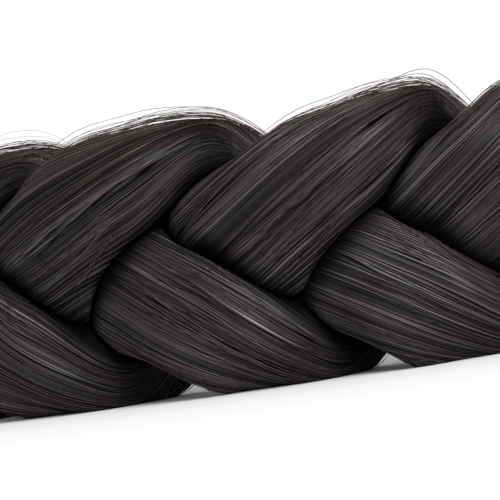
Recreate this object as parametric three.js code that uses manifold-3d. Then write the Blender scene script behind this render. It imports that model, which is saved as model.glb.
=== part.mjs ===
// A braided headband of synthetic hair, resting on its edge as a ring: three thick strands plaited
// flat, tapered and bound at both ends, and joined at the back by a flat elastic.
// Millimetres, +Z up. The origin is on the surface it rests on, under the middle of its box,
// the elastic is at the back (+Y) and the front of the braid faces -Y.
import * as THREE from 'three';
import Module from 'manifold-3d';
import { mergeVertices } from 'three/addons/utils/BufferGeometryUtils.js';

// Driving sizes
const loopWidth = 172; // side to side, between the middles of the braid
const loopDepth = 160; // front to back, likewise
const braidWidth = 40; // edge to edge of the plait
const braidThickness = 22;
const lobePitch = 29.5; // from one lobe to the next along one edge
const lobeLean = 0.8; // how far the upper lobes lean forward along the braid
const floorPress = 0.8; // how far the lower lobes flatten where they rest
const strandGap = 1; // between neighbouring strands, where they press on each other
const facetGap = 0.2; // the least that is left between the flat facets of two strands
const taperLength = 46; // over which the braid thins towards each end
const gatheredWidth = 14; // the bound ends
const gatheredThickness = 9.5;
const gatheredPitch = 19;
const wrapLength = 18; // the hair wrap over each end
const wrapWall = 1.5;
const wrapCrown = 0.7; // how much fatter the wrap is at its middle
const elasticWidth = 10;
const elasticThickness = 1.6;
const elasticSpan = 66; // the bare elastic between the wraps
const elasticTuck = 6; // how far each of its ends goes into a wrap
const clearance = 0.35; // between the strands, the elastic and the wraps that hold them

// Fineness of the faceted solids
const stationStep = 3.6;
const strandSides = 12;
const wrapSides = 20;
const wrapStations = 5;
const elasticStep = 5;
const overcut = 1; // how far a cutter runs past the face that it opens
const weldDistance = 1e-4;

// The half-sizes of one strand's section on its way through the plait, along and through the
// figure-eight path that the strand follows
const strandSections = {
  crossing: { along: 0.303 * braidWidth, through: 0.212 * braidThickness },
  outerFace: { along: 0.248 * braidWidth, through: 0.27 * braidThickness },
  edgeFold: { along: 0.407 * braidThickness, through: 0.161 * braidWidth },
};
const swing = 0.33 * braidWidth; // how far the strand's middle moves to each edge
const heave = 0.185 * braidThickness; // how far it moves to each face
const edgeReach = 0.033; // how much further out it folds over the edges, as a share of the swing
const sectionTurn = -0.128; // how far its section turns out of its path on a face, in radians
const overlap = 0.228; // how far the upper of two strands spreads over the lower one
const pocketFill = 1; // strands swell by up to this share where they would leave a hole
const pocketReach = 0.35 * braidWidth;
const pocketDepth = 0.36 * braidThickness;
const roundness = 10; // higher is a sharper corner between a free and a pressed face
const shortestReach = 0.02;
const halvings = 20; // of the search for the place where two strands press
const strandShift = (2 * Math.PI) / 3; // between the phases of the three strands
const photoPhase = 0.5746 * Math.PI; // of the first strand at the middle of the front

// The plait is a little uneven: each strand runs ahead of its even phase, in radians, and aside, as a
// share of the braid's width, by the cosine and sine parts of one slow wave along the braid
const swayLength = 96.4;
const strandSways = [
  { ahead: [-0.0413, 0.0128], aside: [0.0005, -0.0127] },
  { ahead: [-0.0475, -0.1019], aside: [-0.0131, 0.0076] },
  { ahead: [0.0042, -0.0136], aside: [-0.0249, -0.0314] },
];

// The loop starts at the middle of the elastic and runs past -X, the front and +X
const loop = new THREE.EllipseCurve(0, 0, loopWidth / 2, loopDepth / 2, Math.PI / 2, 2.5 * Math.PI);
loop.arcLengthDivisions = 2400;
const loopLength = loop.getLength();
const restHeight = braidWidth / 2 - floorPress; // of the braid's middle line
const wrapStart = elasticSpan / 2;
const braidStart = wrapStart + elasticTuck + clearance;
const braidEnd = loopLength - braidStart;

const wasm = await Module();
wasm.setup();

// A point beside the loop: across is up from its middle line, outward is away from the head
function besideLoop(distance, across, outward) {
  const share = distance / loopLength;
  const wrapped = share - Math.floor(share);
  const point = loop.getPointAt(wrapped);
  const tangent = loop.getTangentAt(wrapped);
  return new THREE.Vector3(
    point.x + outward * tangent.y,
    point.y - outward * tangent.x,
    Math.max(0, restHeight + across),
  );
}

function placeRings(rings, distances) {
  return rings.flatMap((ring, i) => ring.map((pair) => besideLoop(distances[i], ...pair)));
}

// A closed solid through rings of points, each ring given as [across, outward] pairs. Each facet
// between two rings is split along its shorter diagonal, as measured on the guide rings
function loft(rings, distances, guide = rings) {
  const sides = rings[0].length;
  const guidePoints = placeRings(guide, distances);
  const span = (from, to) => guidePoints[from].distanceTo(guidePoints[to]);
  const faces = [];
  for (let i = 0; i + 1 < rings.length; i++) {
    for (let j = 0; j < sides; j++) {
      const a = i * sides + j;
      const b = i * sides + ((j + 1) % sides);
      const [c, d] = [a + sides, b + sides];
      if (span(a, d) < span(b, c)) faces.push(a, b, d, a, d, c);
      else faces.push(a, b, c, b, d, c);
    }
  }
  const last = (rings.length - 1) * sides;
  for (let j = 1; j + 1 < sides; j++) {
    faces.push(0, j + 1, j);
    faces.push(last, last + j, last + j + 1);
  }
  const geometry = new THREE.BufferGeometry();
  geometry.setFromPoints(placeRings(rings, distances));
  geometry.setIndex(faces);
  return geometry;
}

// Evenly spaced distances from one to the other, both included
function stations(from, to, count) {
  return Array.from({ length: count }, (_, i) => from + ((to - from) * i) / (count - 1));
}

function ringOf(sides, pointAt) {
  return Array.from({ length: sides }, (_, j) => pointAt((2 * Math.PI * j) / sides));
}

// 1 in the full braid and 0 in the bound ends
function fullness(distance) {
  const taperStart = wrapStart + wrapLength;
  const fromEnd = Math.min(distance, loopLength - distance) - taperStart;
  return THREE.MathUtils.smoothstep(fromEnd, 0, taperLength);
}

// One strand's sway at a distance along the loop
function swayAt(distance, [cosinePart, sinePart]) {
  const turn = (2 * Math.PI * (distance - loopLength / 2)) / swayLength;
  return cosinePart * Math.cos(turn) + sinePart * Math.sin(turn);
}

// Where a strand is on its figure-eight path, and how its section lies, at one station of the braid
function strandAt(index, station) {
  const { ahead, aside } = strandSways[index];
  const phase = station.phase + index * strandShift + swayAt(station.distance, ahead);
  const lean = (lobeLean * Math.sin(2 * phase) * (1 - Math.sin(phase))) / 2;
  const reach = Math.sin(phase) - edgeReach * Math.sin(3 * phase);
  const face = Math.cos(phase) ** 2;
  const edge = 1 - face;
  const blend = (key) =>
    strandSections.crossing[key] * (2 * face * face - face) +
    strandSections.outerFace[key] * 4 * face * edge +
    strandSections.edgeFold[key] * (2 * edge * edge - edge);
  const path = Math.atan2(2 * heave * Math.cos(2 * phase), -swing * Math.cos(phase));
  const tilt = path + sectionTurn * Math.sin(2 * phase);
  return {
    across: braidWidth * swayAt(station.distance, aside) - swing * reach - lean,
    outward: heave * Math.sin(2 * phase),
    cos: Math.cos(tilt),
    sin: Math.sin(tilt),
    along: blend('along'),
    through: blend('through'),
  };
}

// 1 on the strand's own ellipse, less inside it and more outside
function depthIn(strand, across, outward) {
  const x = (across - strand.across) * strand.cos + (outward - strand.outward) * strand.sin;
  const y = (outward - strand.outward) * strand.cos - (across - strand.across) * strand.sin;
  return Math.hypot(x / strand.along, y / strand.through);
}

// The largest share of the way out that still passes the test
function furthest(passes) {
  let low = 0;
  let high = 1 + pocketFill;
  for (let step = 0; step < halvings; step++) {
    const middle = (low + high) / 2;
    if (passes(middle)) low = middle;
    else high = middle;
  }
  return Math.max(low, shortestReach);
}

// How far a strand may swell where the plait would otherwise have a hole through it
function freeReach(across, outward) {
  const inDepth = Math.max(0, 1 - (outward / pocketDepth) ** 2);
  const inWidth = Math.max(0, 1 - (across / pocketReach) ** 2);
  return 1 + pocketFill * inDepth * inWidth;
}

// Past 1 a point lies outside the oval that the bound ends are squeezed into
function ovalReach(across, outward) {
  return Math.hypot(across / (braidWidth / 2), outward / (braidThickness / 2));
}

// How much a strand gives way to another at a point: less than 1 where it is the upper of the two
function yieldTo(other, own, outward) {
  const face = THREE.MathUtils.clamp(outward / (braidThickness / 2), -1, 1);
  return Math.exp((-overlap * face * (own.outward - other.outward)) / heave);
}

// Whether a point, at a share of the way out of a strand's section, is clear of another strand
function clearOf(other, own, [across, outward], share, gap) {
  return depthIn(other, across, outward) > share * yieldTo(other, own, outward) + gap;
}

// One point of a strand's section: it goes out to its own ellipse, or to where it presses on another
function sectionPoint(own, others, angle, squeeze, swelling) {
  const dx = own.along * Math.cos(angle);
  const dy = own.through * Math.sin(angle);
  const stepAcross = dx * own.cos - dy * own.sin;
  const stepOutward = dx * own.sin + dy * own.cos;
  const stepLength = Math.hypot(dx, dy);
  const gap = strandGap / stepLength;
  const pointAt = (share) => [own.across + share * stepAcross, own.outward + share * stepOutward];
  const clear = (other) => (share) => clearOf(other, own, pointAt(share), share, gap);
  const limits = others.map((other) => furthest(clear(other)));
  limits.push(furthest((share) => share < freeReach(...pointAt(share))));
  limits.push(furthest((share) => ovalReach(...pointAt(share)) < squeeze));
  const reach = limits.reduce((sum, limit) => sum + limit ** -roundness, 0) ** (-1 / roundness);
  return pointAt(reach + swelling / stepLength);
}

// The braid's stations, with the phase that the first strand has reached at each
function braidStations() {
  const count = Math.round((braidEnd - braidStart) / stationStep);
  const distances = stations(braidStart, braidEnd, count);
  const pitchAt = (distance) => gatheredPitch + (lobePitch - gatheredPitch) * fullness(distance);
  const phases = [0];
  for (let i = 1; i < count; i++) {
    const middle = (distances[i] + distances[i - 1]) / 2;
    phases.push(phases[i - 1] + (strandShift * (distances[i] - distances[i - 1])) / pitchAt(middle));
  }
  const front = phases[Math.round((count - 1) / 2)];
  return distances.map((distance, i) => ({ distance, phase: phases[i] - front + photoPhase }));
}

// One ring of a strand, swollen by some millimetres
function strandRing(index, station, swelling) {
  const full = fullness(station.distance);
  const scaleAcross = THREE.MathUtils.lerp(gatheredWidth / braidWidth, 1, full);
  const scaleOutward = THREE.MathUtils.lerp(gatheredThickness / braidThickness, 1, full);
  const own = strandAt(index, station);
  const others = [1, 2].map((k) => strandAt((index + k) % strandSways.length, station));
  return ringOf(strandSides, (angle) => {
    const [across, outward] = sectionPoint(own, others, angle, 1 + full, swelling / scaleOutward);
    return [across * scaleAcross, outward * scaleOutward];
  });
}

// One strand from end to end, and the same strand swollen enough to cut its neighbours clear of it
function strandAndCutter(index, line) {
  const distances = line.map(({ distance }) => distance);
  const rings = line.map((station) => strandRing(index, station, 0));
  const swollen = line.map((station) => strandRing(index, station, facetGap));
  return { solid: toSolid(loft(rings, distances)), cutter: toSolid(loft(swollen, distances, rings)) };
}

// The strands, each cut clear of the ones before it where their flat facets come too close
function strandSolids(line) {
  const strands = [0, 1, 2].map((index) => strandAndCutter(index, line));
  return strands.map(({ solid }, index) => {
    const clear = strands.slice(0, index).reduce((rest, { cutter }) => rest.subtract(cutter), solid);
    const bodies = clear.decompose().sort((a, b) => b.volume() - a.volume());
    return bodies[0];
  });
}

// An oval of the given half-sizes
function oval(halfAcross, halfOutward) {
  return ringOf(wrapSides, (angle) => [halfAcross * Math.cos(angle), halfOutward * Math.sin(angle)]);
}

function rectangle(halfAcross, halfOutward) {
  return [
    [halfAcross, halfOutward],
    [-halfAcross, halfOutward],
    [-halfAcross, -halfOutward],
    [halfAcross, -halfOutward],
  ];
}

function toSolid(geometry) {
  const merged = mergeVertices(geometry, weldDistance);
  return new wasm.Manifold(
    new wasm.Mesh({
      numProp: 3,
      vertProperties: merged.attributes.position.array,
      triVerts: new Uint32Array(merged.index.array),
    }),
  );
}

function toGeometry(solid) {
  const mesh = solid.getMesh();
  const geometry = new THREE.BufferGeometry();
  geometry.setAttribute('position', new THREE.BufferAttribute(new Float32Array(mesh.vertProperties), 3));
  geometry.setIndex(new THREE.BufferAttribute(new Uint32Array(mesh.triVerts), 1));
  return geometry;
}

// The wrap that binds one end: a crowned sleeve with a socket for the hair and a slot for the elastic
function wrapGeometry(elasticSide, hairSide) {
  const [from, to] = [Math.min(elasticSide, hairSide), Math.max(elasticSide, hairSide)];
  const away = Math.sign(hairSide - elasticSide);
  const tuckEnd = elasticSide + away * elasticTuck;
  const halfAcross = gatheredWidth / 2 + clearance;
  const halfOutward = gatheredThickness / 2 + clearance;
  const lengths = stations(from, to, wrapStations);
  const outerRings = lengths.map((distance) => {
    const crown = wrapCrown * (1 - ((2 * (distance - from)) / (to - from) - 1) ** 2);
    return oval(halfAcross + wrapWall + crown, halfOutward + wrapWall + crown);
  });
  const slotRing = rectangle(elasticWidth / 2 + clearance, elasticThickness / 2 + clearance);
  const hairSocket = plainLoft(oval(halfAcross, halfOutward), tuckEnd, hairSide + away * overcut);
  const slot = plainLoft(slotRing, elasticSide - away * overcut, tuckEnd + away * overcut);
  return toGeometry(toSolid(loft(outerRings, lengths)).subtract(hairSocket).subtract(slot));
}

// A solid of one section that follows the loop between two distances
function plainLoft(ring, oneEnd, otherEnd) {
  const lengths = stations(Math.min(oneEnd, otherEnd), Math.max(oneEnd, otherEnd), wrapStations);
  return toSolid(loft(lengths.map(() => ring), lengths));
}

function elasticGeometry() {
  const reach = wrapStart + elasticTuck;
  const count = Math.ceil((2 * reach) / elasticStep);
  const lengths = stations(-reach, reach, count);
  return loft(lengths.map(() => rectangle(elasticWidth / 2, elasticThickness / 2)), lengths);
}

function part(name, geometry, material) {
  const mesh = new THREE.Mesh(geometry, material);
  mesh.name = name;
  return mesh;
}

const hair = new THREE.MeshStandardMaterial({ color: 0x2b2624, roughness: 0.45, metalness: 0 });
const wrappedHair = new THREE.MeshStandardMaterial({ color: 0x241f1d, roughness: 0.5, metalness: 0 });
const elastic = new THREE.MeshStandardMaterial({ color: 0x18171a, roughness: 0.85, metalness: 0 });

const headband = new THREE.Group();
strandSolids(braidStations()).forEach((solid, index) => {
  headband.add(part(`strand_${index + 1}`, toGeometry(solid), hair));
});
const wrapEnd = wrapStart + wrapLength;
const farWrap = wrapGeometry(loopLength - wrapStart, loopLength - wrapEnd);
headband.add(part('end_wrap_left', wrapGeometry(wrapStart, wrapEnd), wrappedHair));
headband.add(part('end_wrap_right', farWrap, wrappedHair));
headband.add(part('elastic_band', elasticGeometry(), elastic));

const middle = new THREE.Box3().setFromObject(headband).getCenter(new THREE.Vector3());
headband.children.forEach((mesh) => mesh.geometry.translate(-middle.x, -middle.y, 0));

export default headband;
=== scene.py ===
# The looks of the braided headband: strands of hair with their locks and fine fibres, loose hairs,
# wound ends, the woven elastic, and the stage that it is shown on. Metres, in the solids' frame.
import math

import bpy
import numpy as np
from mathutils import Matrix, Vector


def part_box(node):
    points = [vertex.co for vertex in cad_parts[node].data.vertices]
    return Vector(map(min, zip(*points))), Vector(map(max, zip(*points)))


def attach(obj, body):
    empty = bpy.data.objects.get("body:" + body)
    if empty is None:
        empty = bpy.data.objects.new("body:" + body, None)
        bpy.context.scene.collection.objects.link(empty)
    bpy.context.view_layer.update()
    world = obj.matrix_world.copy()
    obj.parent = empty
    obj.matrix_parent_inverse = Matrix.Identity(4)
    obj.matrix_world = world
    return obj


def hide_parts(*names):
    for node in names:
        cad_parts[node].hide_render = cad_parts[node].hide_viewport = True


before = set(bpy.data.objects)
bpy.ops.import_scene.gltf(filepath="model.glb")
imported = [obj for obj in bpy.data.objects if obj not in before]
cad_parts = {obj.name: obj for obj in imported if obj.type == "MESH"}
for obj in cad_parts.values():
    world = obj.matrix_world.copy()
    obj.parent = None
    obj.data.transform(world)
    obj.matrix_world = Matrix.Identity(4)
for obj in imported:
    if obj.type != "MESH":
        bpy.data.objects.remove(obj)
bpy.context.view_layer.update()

bl_info = {
    "name": "Braided headband",
    "version": (1, 0, 0),
    "blender": (4, 5, 0),
    "location": "View3D > Sidebar > Headband",
    "description": "Dresses the solids of a braided headband with hair, wound ends and a woven elastic",
    "category": "Object",
}

FULL_TURN = 2 * math.pi
BODY = "root"


class PlaitSettings(bpy.types.PropertyGroup):
    """Sizes of the loop and of the plait"""

    loop_width: bpy.props.FloatProperty(
        name="Loop width", description="Side to side, between the middles of the braid", default=0.172, unit="LENGTH"
    )
    loop_depth: bpy.props.FloatProperty(
        name="Loop depth", description="Front to back, between the middles of the braid", default=0.160, unit="LENGTH"
    )
    width: bpy.props.FloatProperty(
        name="Braid width", description="From edge to edge of the plait", default=0.040, unit="LENGTH"
    )
    thickness: bpy.props.FloatProperty(
        name="Braid thickness", description="From face to face of the plait", default=0.022, unit="LENGTH"
    )
    pitch: bpy.props.FloatProperty(
        name="Lobe pitch", description="From one lobe to the next along one edge", default=0.02949, unit="LENGTH"
    )
    lean: bpy.props.FloatProperty(
        name="Lobe lean", description="How far the upper lobes lean forward", default=0.0008, unit="LENGTH"
    )
    floor_press: bpy.props.FloatProperty(
        name="Floor press", description="How far the lower lobes flatten where they rest", default=0.0008, unit="LENGTH"
    )
    gap: bpy.props.FloatProperty(
        name="Strand gap", description="Between strands that press on each other", default=0.0, unit="LENGTH"
    )
    taper: bpy.props.FloatProperty(
        name="Taper", description="Length over which the braid thins to each end", default=0.046, unit="LENGTH"
    )
    gathered_width: bpy.props.FloatProperty(
        name="Gathered width", description="Width of the bound ends", default=0.014, unit="LENGTH"
    )
    gathered_thickness: bpy.props.FloatProperty(
        name="Gathered thickness", description="Thickness of the bound ends", default=0.0095, unit="LENGTH"
    )
    gathered_pitch: bpy.props.FloatProperty(
        name="Gathered pitch", description="Lobe pitch near the bound ends", default=0.019, unit="LENGTH"
    )
    first_phase: bpy.props.FloatProperty(
        name="First phase", description="Phase of the first strand at the front", default=0.5746 * math.pi, unit="ROTATION"
    )


class HairSettings(bpy.types.PropertyGroup):
    """Fineness and colour of the hair"""

    fibre_count: bpy.props.IntProperty(
        name="Fibres", description="Fibres laid on each strand", default=940
    )
    fibre_radius: bpy.props.FloatProperty(
        name="Fibre radius", description="Half the thickness of a laid fibre", default=0.00007, unit="LENGTH"
    )
    stray_radius: bpy.props.FloatProperty(
        name="Loose hair radius", description="Half the thickness of a loose hair", default=0.00004, unit="LENGTH"
    )
    lock_depth: bpy.props.FloatProperty(
        name="Lock depth", description="Depth of the grooves between locks", default=0.00015, unit="LENGTH"
    )
    # The dark colour is the painted shade between the fibres and where strands dive under; the wound ends also use it
    # for their dark streaks
    dark: bpy.props.FloatVectorProperty(
        name="Dark hair", description="Colour deep between the fibres", default=(0.0015, 0.0012, 0.0012), subtype="COLOR"
    )
    brown: bpy.props.FloatVectorProperty(
        name="Brown hair", description="Colour of most fibres", default=(0.066, 0.057, 0.0575), subtype="COLOR"
    )
    red: bpy.props.FloatVectorProperty(
        name="Red-brown hair", description="Colour of the warmest fibres", default=(0.088, 0.040, 0.036), subtype="COLOR"
    )
    roughness: bpy.props.FloatProperty(
        name="Roughness", description="Roughness of the hair's shine", default=0.42
    )
    gloss: bpy.props.FloatProperty(
        name="Gloss", description="Index of refraction that sets the strength of the shine", default=1.5
    )


class TieSettings(bpy.types.PropertyGroup):
    """Sizes and colour of the wound ends and the elastic"""

    wrap_length: bpy.props.FloatProperty(
        name="Winding length", description="Length of the hair wound round each end", default=0.018, unit="LENGTH"
    )
    wrap_wall: bpy.props.FloatProperty(
        name="Winding wall", description="Thickness of the wound hair", default=0.0015, unit="LENGTH"
    )
    wrap_crown: bpy.props.FloatProperty(
        name="Winding crown", description="How much fatter the winding is at its middle", default=0.0007, unit="LENGTH"
    )
    elastic_width: bpy.props.FloatProperty(
        name="Elastic width", description="Width of the flat elastic", default=0.010, unit="LENGTH"
    )
    elastic_thickness: bpy.props.FloatProperty(
        name="Elastic thickness", description="Thickness of the flat elastic", default=0.0016, unit="LENGTH"
    )
    elastic_span: bpy.props.FloatProperty(
        name="Elastic span", description="Bare elastic between the wound ends", default=0.066, unit="LENGTH"
    )
    elastic_tuck: bpy.props.FloatProperty(
        name="Elastic tuck", description="Length of elastic inside each wound end", default=0.006, unit="LENGTH"
    )
    clearance: bpy.props.FloatProperty(
        name="Clearance", description="Room between the gathered hair and its winding", default=0.00035, unit="LENGTH"
    )
    elastic_colour: bpy.props.FloatVectorProperty(
        name="Elastic colour", description="Colour of the woven elastic", default=(0.012, 0.011, 0.012), subtype="COLOR"
    )


class StageSettings(bpy.types.PropertyGroup):
    """The floor, the lights and the camera"""

    floor_size: bpy.props.FloatProperty(
        name="Floor size", description="Side of the floor", default=6.0, unit="LENGTH"
    )
    floor_colour: bpy.props.FloatVectorProperty(
        name="Floor colour", description="Colour of the pale floor", default=(0.62, 0.62, 0.625), subtype="COLOR"
    )
    sky_strength: bpy.props.FloatProperty(
        name="Room light", description="Strength of the white room", default=1.04
    )
    key_strength: bpy.props.FloatProperty(
        name="Key light", description="Strength of the soft light from the front right", default=3.8
    )
    key_spread: bpy.props.FloatProperty(
        name="Key spread", description="How wide the soft light looks from the braid", default=0.6, unit="ROTATION"
    )
    view_offset: bpy.props.FloatProperty(
        name="View offset", description="Where the camera aims, along the braid from its front", default=-0.00708, unit="LENGTH"
    )
    view_turn: bpy.props.FloatProperty(
        name="View turn", description="How far the camera stands to the side", default=0.1667, unit="ROTATION"
    )
    view_distance: bpy.props.FloatProperty(
        name="View distance", description="From the camera to the braid", default=0.3094, unit="LENGTH"
    )
    view_height: bpy.props.FloatProperty(
        name="View height", description="Height of the camera over the floor", default=0.0209, unit="LENGTH"
    )
    aim_height: bpy.props.FloatProperty(
        name="Aim height", description="Height of the point that the camera aims at", default=0.0198, unit="LENGTH"
    )
    view_roll: bpy.props.FloatProperty(
        name="View roll", description="Tilt of the picture", default=-0.1531, unit="ROTATION"
    )
    lens: bpy.props.FloatProperty(name="Lens", description="Focal length in millimetres", default=154.7, unit="CAMERA")


def smooth(values):
    """An even step from 0 to 1."""
    share = np.clip(values, 0, 1)
    return share * share * (3 - 2 * share)


def round_noise(rng, rows, turns, row_cells, turn_cells):
    """Soft noise between -1 and 1 over shares of the length and, without a seam, of a turn."""
    cells = rng.uniform(-1, 1, (row_cells + 2, turn_cells))
    row = np.clip(rows, 0, 1) * row_cells
    column = np.mod(turns, 1) * turn_cells
    low_row = np.floor(row).astype(int)
    low_column = np.floor(column).astype(int)
    row_share = smooth(row - low_row)
    column_share = smooth(column - low_column)
    low_column %= turn_cells
    high_column = (low_column + 1) % turn_cells
    low = cells[low_row, low_column] * (1 - column_share) + cells[low_row, high_column] * column_share
    high = cells[low_row + 1, low_column] * (1 - column_share) + cells[low_row + 1, high_column] * column_share
    return low * (1 - row_share) + high * row_share


class Loop:
    """The headband's oval middle line, by distance from the middle of the elastic."""

    samples = 8001

    def __init__(self, plait, ties):
        self.half_width = plait.loop_width / 2
        self.half_depth = plait.loop_depth / 2
        self.rest_height = plait.width / 2 - plait.floor_press
        self.turns = np.linspace(0, FULL_TURN, self.samples)
        x, y = self.oval(self.turns)
        self.lengths = np.concatenate([[0], np.cumsum(np.hypot(np.diff(x), np.diff(y)))])
        self.length = self.lengths[-1]
        low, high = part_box("elastic_band")
        self.shift = ((low.x + high.x) / 2, high.y - self.half_depth - ties.elastic_thickness / 2)

    def oval(self, turns):
        return -self.half_width * np.sin(turns), self.half_depth * np.cos(turns)

    def line(self, distance):
        """Places on the middle line, and the directions along it."""
        turns = np.interp(np.mod(distance, self.length), self.lengths, self.turns)
        x, y = self.oval(turns)
        along_x = -self.half_width * np.cos(turns)
        along_y = -self.half_depth * np.sin(turns)
        size = np.hypot(along_x, along_y)
        return x + self.shift[0], y + self.shift[1], along_x / size, along_y / size

    def place(self, distance, across, outward):
        """Points beside the middle line: across is up from it, outward is away from the head."""
        x, y, along_x, along_y = self.line(distance)
        height = np.maximum(0, self.rest_height + across)
        return np.stack(np.broadcast_arrays(x + outward * along_y, y - outward * along_x, height), -1)

    def direct(self, distance, across, outward):
        """Directions beside the middle line."""
        along_x, along_y = self.line(distance)[2:]
        return np.stack(np.broadcast_arrays(outward * along_y, -outward * along_x, across), -1)


class Plait:
    """The three strands, each on its figure-eight path, pressed against the other two."""

    strand_count = 3
    # Half-sizes of a strand's section along and through its path, as shares of the braid's width or
    # thickness, where it crosses, where it lies on a face and where it folds over an edge
    crossing = (0.303, 0.212)
    outer_face = (0.248, 0.270)
    edge_fold = (0.407, 0.161)
    swing_share = 0.33
    heave_share = 0.185
    edge_reach = 0.033
    section_turn = -0.128
    overlap = 0.228
    # How far each strand runs ahead of its even phase, and to the side as a share of the braid's width:
    # the cosine and sine parts of one slow wave along the braid
    sway_length = 0.0964
    sways = (
        ((-0.0413, 0.0128), (0.0005, -0.0127)),
        ((-0.0475, -0.1019), (-0.0131, 0.0076)),
        ((0.0042, -0.0136), (-0.0249, -0.0314)),
    )
    pocket_fill = 1.0
    pocket_reach_share = 0.35
    pocket_depth_share = 0.36
    roundness = 20
    halvings = 20
    # How far the painted shade of a seam reaches over the strand that dives under and over the upper one
    shade_under = 0.0029
    shade_over = 0.0006
    shortest_reach = 0.02
    phase_samples = 6001
    # The hair runs round the braid as its strand goes from one face to the other: the parts of the run
    # that grow with the phase, with its cube, with its square times the girth, with the phase times the
    # girth's square and with the girth's cube, and how much more the first part is on each strand,
    # evenly and in the slow wave
    run_parts = (0.4305, 0.025, -0.0903, 0.0053, -0.031)
    run_sways = ((0.0601, 0.0234, -0.0083), (0.0084, 0.0112, -0.0405), (-0.0537, 0.0467, 0.0352))
    quarter_girth = 0.0265
    facing_rate = 4.6
    least_breadth = 0.0001

    def __init__(self, scene):
        sizes, ties = scene.headband_plait, scene.headband_ties
        self.sizes = sizes
        self.loop = Loop(sizes, ties)
        self.swing = self.swing_share * sizes.width
        self.heave = self.heave_share * sizes.thickness
        self.half_sizes = (
            (self.crossing[0] * sizes.width, self.crossing[1] * sizes.thickness),
            (self.outer_face[0] * sizes.width, self.outer_face[1] * sizes.thickness),
            (self.edge_fold[0] * sizes.thickness, self.edge_fold[1] * sizes.width),
        )
        self.shift = FULL_TURN / self.strand_count
        self.taper_start = ties.elastic_span / 2 + ties.wrap_length
        self.start = ties.elastic_span / 2 + ties.elastic_tuck + ties.clearance
        self.end = self.loop.length - self.start
        self.phase_marks = np.linspace(self.start, self.end, self.phase_samples)
        self.phases = self.run_phases()

    def run_phases(self):
        """The first strand's phase at each mark: it runs faster in the thin ends."""
        marks = self.phase_marks
        full = self.fullness((marks[1:] + marks[:-1]) / 2)
        pitch = self.sizes.gathered_pitch + (self.sizes.pitch - self.sizes.gathered_pitch) * full
        run = np.concatenate([[0], np.cumsum(self.shift * np.diff(marks) / pitch)])
        return run + self.sizes.first_phase - np.interp(self.loop.length / 2, marks, run)

    def girth(self, across, outward):
        """Quarters of the way round the braid, from the middle of the outer face up to 2 or down to -2."""
        height = np.clip(2 * across / self.sizes.width, -1, 1)
        facing = np.tanh(2 * self.facing_rate * outward / self.sizes.thickness)
        breadth = np.sqrt(np.maximum(1 - height * height, self.least_breadth))
        return np.arctan2(height, facing * breadth) / (math.pi / 2)

    def fullness(self, distance):
        """1 in the full braid and 0 in the bound ends."""
        from_end = np.minimum(distance, self.loop.length - distance) - self.taper_start
        return smooth(from_end / self.sizes.taper)

    def sway(self, distance, parts):
        turn = FULL_TURN * (distance - self.loop.length / 2) / self.sway_length
        return parts[0] * np.cos(turn) + parts[1] * np.sin(turn)

    def phase(self, index, distance):
        ahead = self.sway(distance, self.sways[index][0])
        return np.interp(distance, self.phase_marks, self.phases) + index * self.shift + ahead

    def strand_at(self, index, distance):
        """Where a strand is, how it is turned, and the half-sizes of its section."""
        phase = self.phase(index, distance)
        sine, cosine = np.sin(phase), np.cos(phase)
        face = cosine * cosine
        edge = 1 - face
        weights = (2 * face * face - face, 4 * face * edge, 2 * edge * edge - edge)
        half_along, half_through = (
            sum(weight * half[axis] for weight, half in zip(weights, self.half_sizes)) for axis in (0, 1)
        )
        lean = self.sizes.lean * np.sin(2 * phase) * (1 - sine) / 2
        tilt = np.arctan2(2 * self.heave * np.cos(2 * phase), -self.swing * cosine)
        tilt += self.section_turn * np.sin(2 * phase)
        aside = self.sizes.width * self.sway(distance, self.sways[index][1])
        return {
            "across": aside - self.swing * (sine - self.edge_reach * np.sin(3 * phase)) - lean,
            "outward": self.heave * np.sin(2 * phase),
            "cos": np.cos(tilt),
            "sin": np.sin(tilt),
            "half_along": half_along,
            "half_through": half_through,
        }

    @staticmethod
    def depth_in(strand, across, outward):
        """1 on a strand's own ellipse, less inside it and more outside."""
        off_across = across - strand["across"]
        off_outward = outward - strand["outward"]
        x = off_across * strand["cos"] + off_outward * strand["sin"]
        y = off_outward * strand["cos"] - off_across * strand["sin"]
        return np.hypot(x / strand["half_along"], y / strand["half_through"])

    def furthest(self, shape, passes):
        """The largest share of the way out that still passes the test."""
        low = np.zeros(shape)
        high = np.full(shape, 1 + self.pocket_fill)
        for _ in range(self.halvings):
            middle = (low + high) / 2
            good = passes(middle)
            low = np.where(good, middle, low)
            high = np.where(good, high, middle)
        return np.maximum(low, self.shortest_reach)

    def free_reach(self, across, outward):
        """How far a strand may swell where the plait would otherwise have a hole through it."""
        in_depth = np.clip(1 - (outward / (self.pocket_depth_share * self.sizes.thickness)) ** 2, 0, 1)
        in_width = np.clip(1 - (across / (self.pocket_reach_share * self.sizes.width)) ** 2, 0, 1)
        return 1 + self.pocket_fill * in_depth * in_width

    def section(self, index, distance, angle):
        """A strand's surface points beside the middle line, before the braid is thinned, how free of its neighbours
        each lies, and its painted light share: low, as painted shade, where the strand dives under another."""
        full = self.fullness(distance)
        own = self.strand_at(index, distance)
        x = own["half_along"] * np.cos(angle)
        y = own["half_through"] * np.sin(angle)
        step_across = x * own["cos"] - y * own["sin"]
        step_outward = x * own["sin"] + y * own["cos"]
        shape = step_across.shape

        def point(share):
            return own["across"] + share * step_across, own["outward"] + share * step_outward

        gap = self.sizes.gap / np.hypot(x, y)

        def clears(other, share):
            across, outward = point(share)
            above = (own["outward"] - other["outward"]) / self.heave
            favour = np.exp(-self.overlap * above * np.clip(2 * outward / self.sizes.thickness, -1, 1))
            return self.depth_in(other, across, outward) > share * favour + gap

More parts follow.
